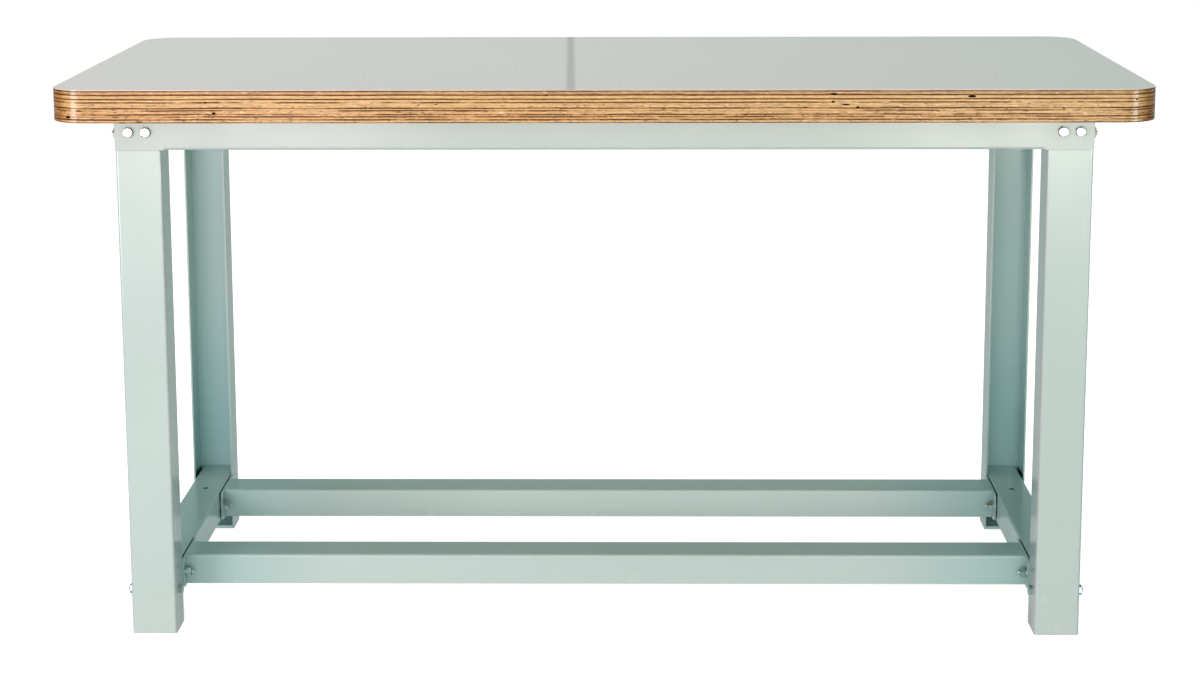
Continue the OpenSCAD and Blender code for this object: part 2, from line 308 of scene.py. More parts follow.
def paint_material(colours):
    """Powder coat: cloudy, with a faint orange peel and dust low down, painted shade in nooks, under the
    rails, inside the legs and in gaps, and painted light on the legs' inner flanges.
    """
    paint = colours.paint
    finish = Finish("powder_coat", paint)
    x, y, height = finish.split(finish.place)
    finish.cover(finish.texture(3.0, 3.0).ramp(0.35, 0.75) * 0.35, dimmed(paint, 0.9))
    dusty = height.ramp(0.09, 0.0) * finish.texture(38.0, 4.0).ramp(0.3, 0.8)
    finish.cover(dusty * 0.45, (0.52, 0.53, 0.49))

    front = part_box("leg_front_right")[0].y
    # Painted shade: darker, more teal paint low down near the legs, behind the front legs' faces
    painted_nook_shade = abs(x).ramp(0.36, 0.62) * y.ramp(front + 5 * MM, front + 35 * MM) * height.ramp(0.42, 0.12)
    finish.tint(painted_nook_shade, (0.68, 0.84, 0.86))
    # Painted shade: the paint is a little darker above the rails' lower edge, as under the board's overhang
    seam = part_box("top_rail_front")[0].z
    finish.tint(height.ramp(seam - 0.3 * MM, seam + 0.3 * MM), (0.87, 0.86, 0.87))
    # Painted shadow: a thin dark line just below the rails' lower edge
    seam_shadow = abs(height - (seam - 0.8 * MM)).ramp(1.1 * MM, 0.4 * MM)
    finish.cover(seam_shadow * 0.4, dimmed(paint, 0.35))

    # Painted light: lighter, pinker paint on the legs' inner flanges, most of all at the back legs
    leg_low, leg_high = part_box("leg_back_right")
    painted_flange_light = abs(x).ramp(leg_low.x + 3 * MM, leg_low.x + 0.5 * MM)
    painted_flange_light = painted_flange_light * within(abs(y), leg_low.y, leg_high.y)
    finish.tint(painted_flange_light, finish.mix(y.ramp(-0.1, 0.1), (1.06, 0.92, 0.95), (1.28, 1.02, 1.08)))
    # Painted shade: bluer paint inside the legs' channels
    painted_leg_shade = within(abs(x), leg_low.x + 3 * MM, leg_high.x - 2 * MM)
    painted_leg_shade = painted_leg_shade * within(y, leg_low.y + 1 * MM, leg_high.y - 2 * MM)
    finish.tint(painted_leg_shade, (0.88, 1.03, 1.07))

    # Painted shade: near-black paint in the gaps behind the end plates and beside the legs, and inside the
    # shelf hole
    play = 0.1 * MM
    quarter = (abs(x), abs(y), height)
    plate_low, plate_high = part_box("end_plate_back_right")
    member_low, member_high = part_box("side_stretcher_right")
    behind_plate = in_box(
        quarter,
        (plate_high.x - play, plate_low.y, plate_low.z),
        (member_low.x + 1.2 * MM, plate_high.y, plate_high.z))
    beside_leg = in_box(
        quarter,
        (member_high.x - play, leg_low.y + 1 * MM, member_low.z),
        (leg_high.x - 2 * MM, leg_high.y - 3 * MM, member_high.z - play))
    hole, hole_r = pattern_holes("shelf_holes")[-1]
    from_hole = finish.length(finish.vector(abs(x) - hole.x, abs(y) - hole.y, 0.0))
    in_hole = (from_hole < hole_r + play) * within(height, member_high.z - 4 * MM, member_high.z - play)
    finish.cover(behind_plate + beside_leg + in_hole, (0.010, 0.018, 0.015))

    smears = finish.texture(14.0, 4.0).ramp(0.3, 0.7)
    finish.bump(finish.texture(420.0, 1.0), 0.02 * MM)
    return finish.end(roughness=0.17 + 0.08 * smears + 0.15 * dusty)


def laminate_material(colours):
    """Smooth cloudy grey laminate with a dull streak, specks and a pale brown core in its cut edge."""
    base = colours.laminate
    finish = Finish("laminate_sheet", base)
    low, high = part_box("worktop_laminate")
    x, y, height = finish.split(finish.place)
    finish.cover(finish.texture(900.0).ramp(0.3, 0.7) * 0.07, dimmed(base, 0.86))
    finish.cover(finish.texture(2.2).ramp(0.3, 0.7) * 0.15, dimmed(base, 0.92))
    streak = abs(x + 0.0256 * y + 52 * MM).ramp(9 * MM, 2 * MM)
    finish.cover(streak * 0.62, dimmed(base, 0.45))
    values = {"Vector": finish.place, "Scale": 4.0}
    cells = finish.add("ShaderNodeTexVoronoi", values, voronoi_dimensions="2D")
    finish.cover(cells["Distance"].ramp(0.010, 0.006) * 0.9, dimmed(base, 0.15))
    thick = high.z - low.z
    finish.cover(height.ramp(low.z + 0.75 * thick, low.z + 0.45 * thick), colours.laminate_core)
    return finish.end(roughness=0.28)


# Glue lines of the board: depth below its top in mm, how strong the line shows, and how steadily it runs
GLUE_LINES = (
    (0.8, 0.8, 0.5), (6.0, 1.0, 0.8), (11.6, 0.95, 0.6), (16.0, 0.9, 0.0), (23.8, 1.0, 0.4),
    (27.0, 0.85, 0.1), (32.3, 0.95, 0.1), (35.2, 0.95, 0.2), (39.3, 1.0, 0.2), (43.5, 0.9, 0.3),
)
# Plies between them, from the top: how dark, how pink, and whether the grain runs along the bench
PLIES = (
    (0.15, 0.10, 1), (0.38, 0.45, 1), (0.05, 0.05, 1), (0.06, 0.10, 0), (0.14, 0.10, 1), (0.05, 0.15, 0),
    (0.12, 0.55, 1), (0.08, 0.30, 0), (0.12, 0.45, 1), (0.18, 0.35, 0), (0.60, 0.20, 1),
)


def plywood_material(colours):
    """Lacquered cut edge of plywood: plies with glue lines, long and end grain, chips, and painted shade in
    the hollows and round the corners.
    """
    finish = Finish("plywood_edge", colours.wood_light)
    low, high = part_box("worktop_core")
    corner = bpy.context.scene.bench_sizes.corner
    glue = colours.glue
    x, y, z = finish.split(finish.place)

    def wander(start, scale, detail, rough=0.5):
        """Noise that changes along the board's edge and not with height."""
        return finish.noise(finish.vector(x, y, start), scale, detail, rough)

    def fibres(along, upright, detail, rough, start=0.0):
        """Noise that is drawn out along the board's edge."""
        return finish.noise(finish.vector(x * along, y * along, z * upright + start), 1.0, detail, rough)

    waves = wander(0.0, 5.0, 3.0) - 0.5
    ripple = wander(0.0, 40.0, 3.0) - 0.5
    depth = high.z - z + waves * 1.6 * MM + ripple * 0.5 * MM
    look = list(PLIES[0])
    line = 0.0
    for index, (place, strength, steady) in enumerate(GLUE_LINES):
        shift = wander(index * 0.37, 11.0, 3.0) - 0.5
        below = depth + shift * 1.2 * MM - place * MM
        passed = below.ramp(-0.12 * MM, 0.12 * MM)
        for i, (before, after) in enumerate(zip(PLIES[index], PLIES[index + 1])):
            look[i] = look[i] + passed * (after - before)
        faint = wander(index * 0.61 + 3.0, 8.0, 5.0, 0.65).ramp(0.42, 0.56)
        broken = wander(index * 0.23 + 5.0, 150.0, 2.0).ramp(0.3, 0.5)
        shown = strength * (steady + (1.0 - steady) * faint) * (0.75 + 0.25 * broken)
        line = line + abs(below).ramp(1.2 * MM, 0.7 * MM) * shown
    tone, blush, lengthways = look

    at_end = abs(x).ramp(high.x - 30 * MM, high.x - 8 * MM)
    along_edge = lengthways + at_end - 2.0 * lengthways * at_end
    pores = finish.texture(520.0, 3.0, 0.7)
    grain = fibres(14.0, 1100.0, 5.0, 0.62).ramp(0.28, 0.74) * along_edge
    grain = grain + pores.ramp(0.30, 0.78) * (1.0 - along_edge)
    grain = 0.6 * grain + 0.4 * fibres(110.0, 900.0, 3.0, 0.7).ramp(0.32, 0.68)
    finish.cover(tone + 1.35 * (grain - 0.47), colours.wood_dark)
    patches = wander(0.0, 2.3, 2.0).ramp(0.35, 0.65)
    finish.tint(blush * (1.0 - patches * 0.7), colours.wood_pink)

    torn = fibres(75.0, 330.0, 3.0, 0.6).ramp(0.60, 0.69)
    finish.cover(torn * (1.0 - line) * 0.75, colours.chip)
    finish.tint(finish.maths("MINIMUM", line * 1.6, 1.0), (0.62, 0.42, 0.12))
    finish.cover(line * 0.9, glue)
    gaps = fibres(130.0, 520.0, 3.0, 0.6, 7.0).ramp(0.585, 0.665)
    gaps = gaps * depth.ramp(10 * MM, 22 * MM, 0.35, 1.0)
    finish.cover(gaps * 0.7, glue)

    # Painted shade: near-black wood inside the hollows cut into the edge
    past_x = finish.maths("MAXIMUM", abs(x) - (high.x - corner), 0.0)
    past_y = finish.maths("MAXIMUM", abs(y) - (high.y - corner), 0.0)
    inset = corner - finish.length(finish.vector(past_x, past_y, 0.0))
    hollow = inset.ramp(0.25 * MM, 1.0 * MM) * z.ramp(low.z + 1.4 * MM, low.z + 1.8 * MM)
    finish.cover(hollow, dimmed(glue, 0.25))
    # Painted shade: darker, browner wood where the round corners turn towards the board's ends
    painted_corner_shade = abs(x).ramp(high.x - 26 * MM, high.x - 13 * MM)
    painted_corner_shade = painted_corner_shade * abs(y).ramp(high.y - corner - 30 * MM, high.y - corner)
    finish.tint(painted_corner_shade, (0.70, 0.54, 0.40))

    veneer = finish.noise(finish.vector(x * 5.0, y * 160.0, 0.0), 1.0, 5.0, 0.6).ramp(0.3, 0.75)
    figure = finish.noise(finish.vector(x * 1.2, y * 14.0, 0.0), 1.0, 3.0).ramp(0.35, 0.7)
    underside = finish.mix(veneer * 0.55 + figure * 0.3, colours.wood_light, colours.wood_dark)
    finish.cover(z.ramp(low.z + 0.15 * MM, low.z + 0.05 * MM), underside)

    finish.bump(0.35 * grain + 1.0 - 0.9 * line - 0.8 * gaps, 0.25 * MM, 0.8)
    return finish.end(
        roughness=0.38 + 0.18 * pores.ramp(0.3, 0.8) + 0.3 * hollow, specular_ior_level=0.1,
        coat_weight=0.3 * (1.0 - hollow) * (1.0 - line), coat_roughness=0.22)


def zinc_material(colours):
    """Bright zinc plate with a cloudy bloom, greenish grey low down, and painted shade on the flanks of
    some bolt heads.
    """
    zinc = colours.zinc
    finish = Finish("zinc_plate", zinc)
    bloom = finish.texture(160.0, 4.0)
    finish.cover(bloom.ramp(0.35, 0.8) * 0.4, dimmed(zinc, 0.72))
    # Zinc low down turns greener and darker grey
    low_down = finish.split(finish.place)[Z].ramp(0.3, 0.2)
    finish.cover(low_down * 0.8, (0.25, 0.42, 0.37))
    # Painted shade: near-black zinc on the marked flanks of bolt heads
    flank = finish.add("ShaderNodeAttribute", attribute_name="flank")["Fac"]
    finish.cover(flank * 0.9, dimmed(zinc, 0.08))
    finish.bump(finish.texture(700.0), 0.02 * MM)
    return finish.end(metallic=1.0, roughness=0.28 + 0.22 * bloom.ramp(0.3, 0.75))


def floor_material(colours):
    """Plain pale studio floor, lit from below as a light table is."""
    finish = Finish("studio_floor", colours.floor)
    glow = bpy.context.scene.studio_setup.glow
    finish.cover(finish.texture(0.8, 3.0) * 0.1, dimmed(colours.floor, 0.95))
    finish.material.cycles.emission_sampling = "NONE"
    return finish.end(
        roughness=0.6, specular_ior_level=0.0,
        emission_color=(1.0, 0.93, 0.94), emission_strength=glow)


MATERIALS = {
    "painted_steel": paint_material,
    "laminate": laminate_material,
    "plywood": plywood_material,
    "zinc": zinc_material,
    "floor": floor_material,
}


@functools.cache
def material(name):
    """A material, made when it is first asked for."""
    return MATERIALS[name](bpy.context.scene.bench_colours)


# Reading the CAD frame

class Solid:
    """One solid of a CAD node, or a node's box: its points, corners, size and middle."""

    def __init__(self, points):
        self.points = points
        self.low = Vector([min(p[i] for p in points) for i in range(3)])
        self.high = Vector([max(p[i] for p in points) for i in range(3)])
        self.size = self.high - self.low
        self.middle = (self.low + self.high) / 2

    def off_axis(self, point, axis):
        """Distance of a point from the line through the middle along an axis."""
        away = point - self.middle
        away[axis] = 0
        return away.length


def solids_of(node):
    """The separate solids of a CAD node."""
    mesh = bmesh.new()
    mesh.from_mesh(frame["nodes"][node].data)
    bmesh.ops.remove_doubles(mesh, verts=mesh.verts, dist=0.001 * MM)
    found = []
    seen = set()
    for start in mesh.verts:
        if start in seen:
            continue
        seen.add(start)
        group = [start]
        for vert in group:
            for edge in vert.link_edges:
                other = edge.other_vert(vert)
                if other not in seen:
                    seen.add(other)
                    group.append(other)
        found.append(Solid([v.co.copy() for v in group]))
    mesh.free()
    return found


class Bolt:
    """A bolt or screw of the CAD frame: its axis, where its head sits and which way its tip points."""

    def __init__(self, solid):
        self.solid = solid
        self.axis = max(range(3), key=lambda i: solid.size[i])
        widest = max(solid.off_axis(p, self.axis) for p in solid.points)
        rim = 0.98 * widest
        head = [p[self.axis] for p in solid.points if solid.off_axis(p, self.axis) > rim]
        low, high = solid.low[self.axis], solid.high[self.axis]
        self.head_h = max(head) - min(head)
        self.way = 1 if min(head) - low < high - max(head) else -1
        self.across = 2 * widest * math.cos(math.pi / 6)
        far = high if self.way > 0 else low
        tip = [p for p in solid.points if abs(p[self.axis] - far) < 0.1 * MM]
        self.shank = 2 * max(solid.off_axis(p, self.axis) for p in tip)
        self.length = high - low - self.head_h
        self.seat = solid.middle.copy()
        self.seat[self.axis] = max(head) if self.way > 0 else min(head)


@functools.cache
def all_bolts():
    return [Bolt(solid) for node in (*BOLT_NODES, SCREW_NODE) for solid in solids_of(node)]


def pattern_holes(only=None):
    """Holes that the record's bolt patterns give: (place, radius)."""
    found = []
    for mount in frame["record"]["mounts"]:
        if mount["kind"] != "bolt_pattern" or only not in (None, mount["name"]):
            continue
        dims = mount["dims"]
        for sx in SIDES:
            for sy in SIDES:
                spread = Vector((sx * dims["spacing_x_mm"], sy * dims["spacing_y_mm"], 0)) * (MM / 2)
                found.append((Vector(mount["pos_m"]) + spread, dims["hole_r_mm"] * MM))
    return found


# Making meshes

def new_object(name, mesh):
    obj = bpy.data.objects.new(name, mesh)
    bpy.context.scene.collection.objects.link(obj)
    return obj


def new_mesh(name, mesh):
    """Turns a bmesh into a mesh."""
    data = bpy.data.meshes.new(name)
    mesh.to_mesh(data)
    mesh.free()
    return data


def smooth_folds(mesh):
    """Shades angles under 35 degrees smooth and leaves the others sharp."""
    mesh.shade_smooth()
    mesh.set_sharp_from_angle(angle=math.radians(35))


def clean_mesh(obj, name):
    """Turns an object with modifiers into a plain one."""
    graph = bpy.context.evaluated_depsgraph_get()
    mesh = bpy.data.meshes.new_from_object(obj.evaluated_get(graph))
    mesh.name = name
    old = obj.data
    obj.modifiers.clear()
    obj.data = mesh
    bpy.data.meshes.remove(old)
    smooth_folds(mesh)
    return obj


def finish_piece(obj, node):
    """Sets the root as what a piece rides on, and hides the CAD node that it stands in for."""
    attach(obj, "root")
    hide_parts(node)


def keep_flats_flat(obj):
    """Lets the large flat faces keep their own shade next to folds and rounded edges."""
    weighted = obj.modifiers.new("flat_shade", "WEIGHTED_NORMAL")
    weighted.keep_sharp = True
    weighted.weight = 100
    return obj


class Blank:
    """Points and lines that a node tree turns into a piece, with values at the points."""

    def __init__(self):
        self.points = []
        self.edges = []
        self.values = {}

    def point(self, place, **values):
        for key, value in values.items():
            self.values.setdefault(key, {})[len(self.points)] = value
        self.points.append(tuple(place))

    def join(self, closed=False):
        """Joins the points so far with a line."""
        count = len(self.points)
        self.edges = [(i, (i + 1) % count) for i in range(count if closed else count - 1)]

    def fill(self, *names):
        """Gives every point that has no value of these names the value 0."""
        for name in names:
            known = self.values.setdefault(name, {})
            for i in range(len(self.points)):
                known.setdefault(i, 0.0)

    def mesh(self, name):
        mesh = bpy.data.meshes.new(name)
        mesh.from_pydata(self.points, self.edges, [])
        for key, known in self.values.items():
            plain = isinstance(next(iter(known.values())), (int, float))
            attribute = mesh.attributes.new(key, "FLOAT" if plain else "FLOAT_VECTOR", "POINT")
            for i, value in known.items():
                setattr(attribute.data[i], "value" if plain else "vector", value)
        return mesh


class PieceTree(Graph):
    """A Geometry Nodes tree with named inputs, made once and used for several pieces."""

    def __init__(self, name, lengths=(), counts=(), vectors=()):
        super().__init__(bpy.data.node_groups.new(name, "GeometryNodeTree"))
        for way in ("INPUT", "OUTPUT"):
            self.tree.interface.new_socket("Geometry", in_out=way, socket_type="NodeSocketGeometry")
        kinds = {"Float": lengths, "Int": counts, "Vector": vectors, "Material": ("Material",)}
        for kind, labels in kinds.items():
            for label in labels:
                self.tree.interface.new_socket(label, in_out="INPUT", socket_type="NodeSocket" + kind)
        self.given = self.add("NodeGroupInput")

    def __getitem__(self, label):
        return self.given[label]

    def geo(self, kind, values=None, **settings):
        """Adds a geometry node and returns its first output."""
        return self.add("GeometryNode" + kind, values, **settings)[0]

    def named(self, name, kind="FLOAT"):
        """Reads a value that a blank holds at each point."""
        return self.add("GeometryNodeInputNamedAttribute", {"Name": name}, data_type=kind)["Attribute"]

    def parted(self, geometry, name):
        """The points that hold a value above zero, and the rest."""
        values = {"Geometry": geometry, "Selection": self.named(name) > 0.0}
        return self.add("GeometryNodeSeparateGeometry", values, domain="POINT")

    def cylinder(self, sides, radius, height):
        return self.geo("MeshCylinder", {"Vertices": sides, "Radius": radius, "Depth": height})

    def cone(self, sides, below, above, height):
        values = {"Vertices": sides, "Radius Bottom": below, "Radius Top": above, "Depth": height}
        return self.geo("MeshCone", values)

    def rectangle(self, width, height):
        return self.geo("CurvePrimitiveQuadrilateral", {"Width": width, "Height": height})

    def circle(self, sides, radius):
        return self.geo("CurvePrimitiveCircle", {"Resolution": sides, "Radius": radius})

    def filleted(self, curve, steps, radius):
        return self.geo("FilletCurve", {"Curve": curve, "Count": steps, "Radius": radius}, mode="POLY")

    def swept(self, path, profile):
        """Sweeps a closed profile along a level path, the profile's height along z."""
        path = self.geo("SetCurveNormal", {"Curve": path}, mode="Z_UP")
        return self.geo("CurveToMesh", {"Curve": path, "Profile Curve": profile, "Fill Caps": True})

    def boolean(self, operation, values):
        return self.geo("MeshBoolean", values, operation=operation, solver="EXACT")

    def raised(self, geometry, rise):
        return self.geo("Transform", {"Geometry": geometry, "Translation": self.vector(0.0, 0.0, rise)})

    def placed(self, geometry):
        """Turns and moves a shape as the piece's inputs say."""
        values = {"Geometry": geometry, "Rotation": self["Turn"], "Translation": self["Place"]}
        return self.geo("Transform", values)

    def pointing(self, vector):
        return self.add("FunctionNodeAlignRotationToVector", {"Vector": vector}, axis="Z")["Rotation"]

    def about_z(self, angle):
        values = {"Axis": (0.0, 0.0, 1.0), "Angle": angle}
        return self.add("FunctionNodeAxisAngleToRotation", values)["Rotation"]

    def copies(self, points, shape, **values):
        """Puts a shape on each point."""
        return self.geo("InstanceOnPoints", {"Points": points, "Instance": shape, **values})

    def real(self, instances):
        return self.geo("RealizeInstances", {"Geometry": instances})

    def punched(self, geometry, holes):
        """Cuts a round hole along each hole point's span."""
        span = self.named("span", "FLOAT_VECTOR")
        radius = self.named("hole")
        size = self.vector(radius, radius, self.length(span))
        rod = self.cylinder(HOLE_SIDES, 1.0, 1.0)
        rods = self.copies(holes, rod, Rotation=self.pointing(span), Scale=size)
        return self.boolean("DIFFERENCE", {"Mesh 1": geometry, "Mesh 2": self.real(rods)})

    def on_axes(self, shape):
        """Puts a shape that is made along z on each point's axis, turned at random about it."""
        turn = self.pointing(self.named("axis", "FLOAT_VECTOR"))
        values = {2: 0.0, 3: math.tau, "Seed": self["Seed"]}
        spin = self.about_z(self.add("FunctionNodeRandomValue", values, data_type="FLOAT")[1])
        values = {"Rotation": turn, "Rotate By": spin}
        turn = self.add("FunctionNodeRotateRotation", values, rotation_space="LOCAL")["Rotation"]
        return self.copies(self["Geometry"], shape, Rotation=turn)

    def end(self, geometry):
        """Closes the tree: real meshes in place of instances, and the material."""
        painted = self.geo("SetMaterial", {"Geometry": self.real(geometry), "Material": self["Material"]})
        self.add("NodeGroupOutput", {"Geometry": painted})
        return self

    def make(self, name, mesh, slot, **inputs):
        """Runs the tree on a mesh of points and lines, and returns a plain mesh object."""
        obj = new_object(name, mesh)
        modifier = obj.modifiers.new(name, "NODES")
        modifier.node_group = self.tree
        sockets = [item for item in self.tree.interface.items_tree if item.in_out == "INPUT"]
        known = {item.name: item.identifier for item in sockets}
        inputs["Material"] = material(slot)
        for label, value in inputs.items():
            modifier[known[label.replace("_", " ")]] = value
        bpy.context.view_layer.update()
        return clean_mesh(obj, name)


@functools.cache
def folded_sheet_tree():
    """Sheet steel folded along a line, with flat tabs and punched holes."""
    lengths = ("Length", "Sheet", "Fold Radius")
    piece = PieceTree("folded_sheet", lengths, ("Fold Steps",), ("Turn", "Place"))
    parts = piece.parted(piece["Geometry"], "hole")
    lines = piece.parted(parts["Inverted"], "tab")
    path = piece.geo("MeshToCurve", {"Mesh": lines["Inverted"]})
    path = piece.filleted(path, piece["Fold Steps"], piece["Fold Radius"] - piece["Sheet"] * 0.5)
    sheet = piece.placed(piece.swept(path, piece.rectangle(piece["Sheet"], piece["Length"])))
    cube = piece.geo("MeshCube", {"Size": (1.0, 1.0, 1.0)})
    tabs = piece.copies(lines["Selection"], cube, Scale=piece.named("size", "FLOAT_VECTOR"))
    sheet = piece.boolean("UNION", {"Mesh 2": [sheet, piece.real(tabs)]})
    return piece.end(piece.punched(sheet, parts["Selection"]))


@functools.cache
def flat_plate_tree():
    """Plate cut to an outline with round corners, with punched holes."""
    piece = PieceTree("flat_plate", ("Thickness",), ("Corner Steps",), ("Turn", "Place"))
    parts = piece.parted(piece["Geometry"], "hole")
    path = piece.geo("MeshToCurve", {"Mesh": parts["Inverted"]})
    path = piece.filleted(path, piece["Corner Steps"], piece.named("corner"))
    face = piece.geo("FillCurve", {"Curve": path}, mode="NGONS")
    values = {"Mesh": face, "Offset Scale": piece["Thickness"], "Individual": False}
    sides = [piece.geo("ExtrudeMesh", values), piece.geo("FlipFaces", {"Mesh": face})]
    plate = piece.geo("JoinGeometry", {"Geometry": sides})
    plate = piece.geo("MergeByDistance", {"Geometry": plate, "Distance": 0.01 * MM})
    return piece.end(piece.punched(piece.placed(plate), parts["Selection"]))


# Flat face of a bolt head or nut, as a share of its width across flats, and the slope of its chamfer
FACE_SHARE = 0.475
CHAMFER = math.sqrt(3)


def hexagon_cut(piece, across, height, cones):
    """Six-sided block from z = 0 up, its corners cut by cones of (radius below, radius above)."""
    block = piece.cylinder(6, across * (0.5 / math.cos(math.pi / 6)), height)
    block = piece.raised(block, height * 0.5)
    for below, above in cones:
        cone = piece.cone(CHAMFER_SIDES, below, above, height)
        block = piece.boolean("INTERSECT", {"Mesh 2": [block, cone]})
    return block


@functools.cache
def bolt_tree():
    """Hexagon bolts: a chamfered head under z = 0, a shank and a cut thread with a chamfered tip."""
    lengths = ("Across", "Head Height", "Diameter", "Length", "Thread Length", "Pitch", "Tarnish")
    piece = PieceTree("hex_bolts", lengths, ("Seed",))
    head_h, pitch = piece["Head Height"], piece["Pitch"]
    face = piece["Across"] * FACE_SHARE
    head = hexagon_cut(piece, piece["Across"], head_h, [(face, face + head_h * CHAMFER)])
    head = piece.raised(head, head_h * -1.0)
    # Painted shade: marks the head's side faces, so that the zinc is painted dark there on the bolts that
    # ask for it
    level = abs(piece.split(piece.geo("InputNormal"))[Z])
    values = {"Geometry": head, "Name": "flank", "Value": piece["Tarnish"] * (level < 0.95)}
    head = piece.geo("StoreNamedAttribute", values, data_type="FLOAT", domain="FACE")
    radius = piece["Diameter"] * 0.5
    core = radius - pitch * 0.5
    plain_l = piece["Length"] - piece["Thread Length"]
    core_l = piece["Thread Length"] - pitch
    plain = piece.raised(piece.cylinder(SHANK_SIDES, radius, plain_l), plain_l * 0.5)
    rod = piece.raised(piece.cylinder(SHANK_SIDES, core, core_l), plain_l + core_l * 0.5)
    tip = piece.cone(SHANK_SIDES, core, core * 0.82, pitch)
    tip = piece.raised(tip, piece["Length"] - pitch)
    turns = (core_l - pitch) / pitch
    values = {
        "Resolution": THREAD_SIDES, "Rotations": turns, "Height": turns * pitch,
        "Start Radius": core, "End Radius": core,
    }
    ridge = piece.circle(4, pitch * 0.48)
    thread = piece.swept(piece.geo("CurveSpiral", values), ridge)
    thread = piece.raised(thread, plain_l + pitch * 0.5)
    shape = piece.geo("JoinGeometry", {"Geometry": [head, plain, rod, tip, thread]})
    return piece.end(piece.on_axes(shape))


@functools.cache
def nut_tree():
    """Hexagon nuts, chamfered on both faces and round their bore, centred on their points."""
    piece = PieceTree("hex_nuts", ("Across", "Height", "Bore"), ("Seed",))
    height = piece["Height"]
    face = piece["Across"] * FACE_SHARE
    wide = face + height * CHAMFER
    block = hexagon_cut(piece, piece["Across"], height, [(face, wide), (wide, face)])
    block = piece.raised(block, height * -0.5)
    bore = piece["Bore"] * 0.5
    punch = piece.cylinder(SHANK_SIDES, bore, height * 2.0)
    slope = height * 0.1
    sink = piece.cone(SHANK_SIDES, bore - slope, bore + slope, height * 0.2)
    sink = piece.raised(sink, height * 0.4 + 0.01 * MM)
    under = piece.geo("Transform", {"Geometry": sink, "Rotation": (math.pi, 0.0, 0.0)})
    nut = piece.boolean("DIFFERENCE", {"Mesh 1": block, "Mesh 2": [punch, sink, under]})
    return piece.end(piece.on_axes(nut))


@functools.cache
def ring_tree():
    """Washers and spacers with softened edges, centred on their points."""
    piece = PieceTree("rings", ("Outside", "Bore", "Thickness", "Edge"), ("Seed",))
    outside, bore = piece["Outside"], piece["Bore"]
    section = piece.rectangle((outside - bore) * 0.5, piece["Thickness"])
    section = piece.filleted(section, 2, piece["Edge"])
    path = piece.circle(RING_SIDES, (outside + bore) * 0.25)
    return piece.end(piece.on_axes(piece.swept(path, section)))


@functools.cache
def hollows_tree():
    """Cuts irregular hollows into a board, at the loose points that come with it."""
    piece = PieceTree("edge_hollows", ("Unevenness",))
    parts = piece.parted(piece["Geometry"], "hollow")
    lump = piece.geo("MeshIcoSphere", {"Radius": 1.0, "Subdivisions": 3})
    turn = piece.about_z(piece.named("turn"))
    size = piece.named("size", "FLOAT_VECTOR")
    lumps = piece.real(piece.copies(parts["Selection"], lump, Rotation=turn, Scale=size))
    values = {"Vector": piece.geo("InputPosition"), "Scale": 700.0, "Detail": 2.0}
    uneven = piece.add("ShaderNodeTexNoise", values)["Color"]
    values = {0: uneven, 1: (0.5, 0.5, 0.5)}
    uneven = piece.add("ShaderNodeVectorMath", values, operation="SUBTRACT")["Vector"]
    values = {0: uneven, "Scale": piece["Unevenness"]}
    push = piece.add("ShaderNodeVectorMath", values, operation="SCALE")["Vector"]
    lumps = piece.geo("SetPosition", {"Geometry": lumps, "Offset": push})
    values = {
        "Mesh 1": parts["Inverted"], "Mesh 2": lumps,
        "Self Intersection": True, "Hole Tolerant": True,
    }
    return piece.end(piece.boolean("DIFFERENCE", values))


# Worktop

def rounded_outline(half_w, half_d, radius, steps):
    """Points round a rectangle with round corners, each with its outward direction."""
    found = []
    for number, (sx, sy) in enumerate(((1, -1), (1, 1), (-1, 1), (-1, -1))):
        middle = Vector((sx * (half_w - radius), sy * (half_d - radius), 0))
        for i in range(steps + 1):
            angle = math.pi / 2 * (number - 1 + i / steps)
            out = Vector((math.cos(angle), math.sin(angle), 0))
            found.append((middle + out * radius, out))
    return found


def slab(half_w, half_d, sizes, levels):
    """Slab with round corners. Levels are (height, how far it is set in), from the bottom up."""
    outline = rounded_outline(half_w, half_d, sizes.corner, sizes.corner_steps)
    count = len(outline)
    mesh = bmesh.new()
    rings = [[mesh.verts.new(p - out * inset + Z_UP * z) for p, out in outline] for z, inset in levels]
    for lower, upper in zip(rings, rings[1:]):
        for i in range(count):
            j = (i + 1) % count
            mesh.faces.new((lower[i], lower[j], upper[j], upper[i]))
    mesh.faces.new(list(reversed(rings[0])))
    mesh.faces.new(rings[-1])
    return mesh


# Hollows in the front edge, in mm: place along it, depth below the top, width and height
FRONT_HOLLOWS = (
    (-535, 16.0, 4.2, 2.6), (-524, 30.3, 5.2, 3.2), (496, 8.4, 11.0, 3.4), (-625, 42.0, 8.0, 1.4),
    (311, 5.0, 9.0, 2.8), (310, 15.5, 5.0, 2.6), (327, 19.3, 12.0, 2.0), (343, 22.8, 4.6, 2.4),
    (-188, 28.0, 22.0, 1.1), (-224, 18.8, 6.0, 1.2), (-75, 7.2, 5.0, 1.0),
)
# Hollows in the round corners: which side, angle from the front in degrees, depth, width and height
CORNER_HOLLOWS = (
    (-1, 8, 27.2, 10.0, 1.8), (-1, 27, 36.0, 8.0, 3.4), (1, 20, 13.0, 5.0, 1.8), (1, 52, 31.0, 6.0, 1.8),
)


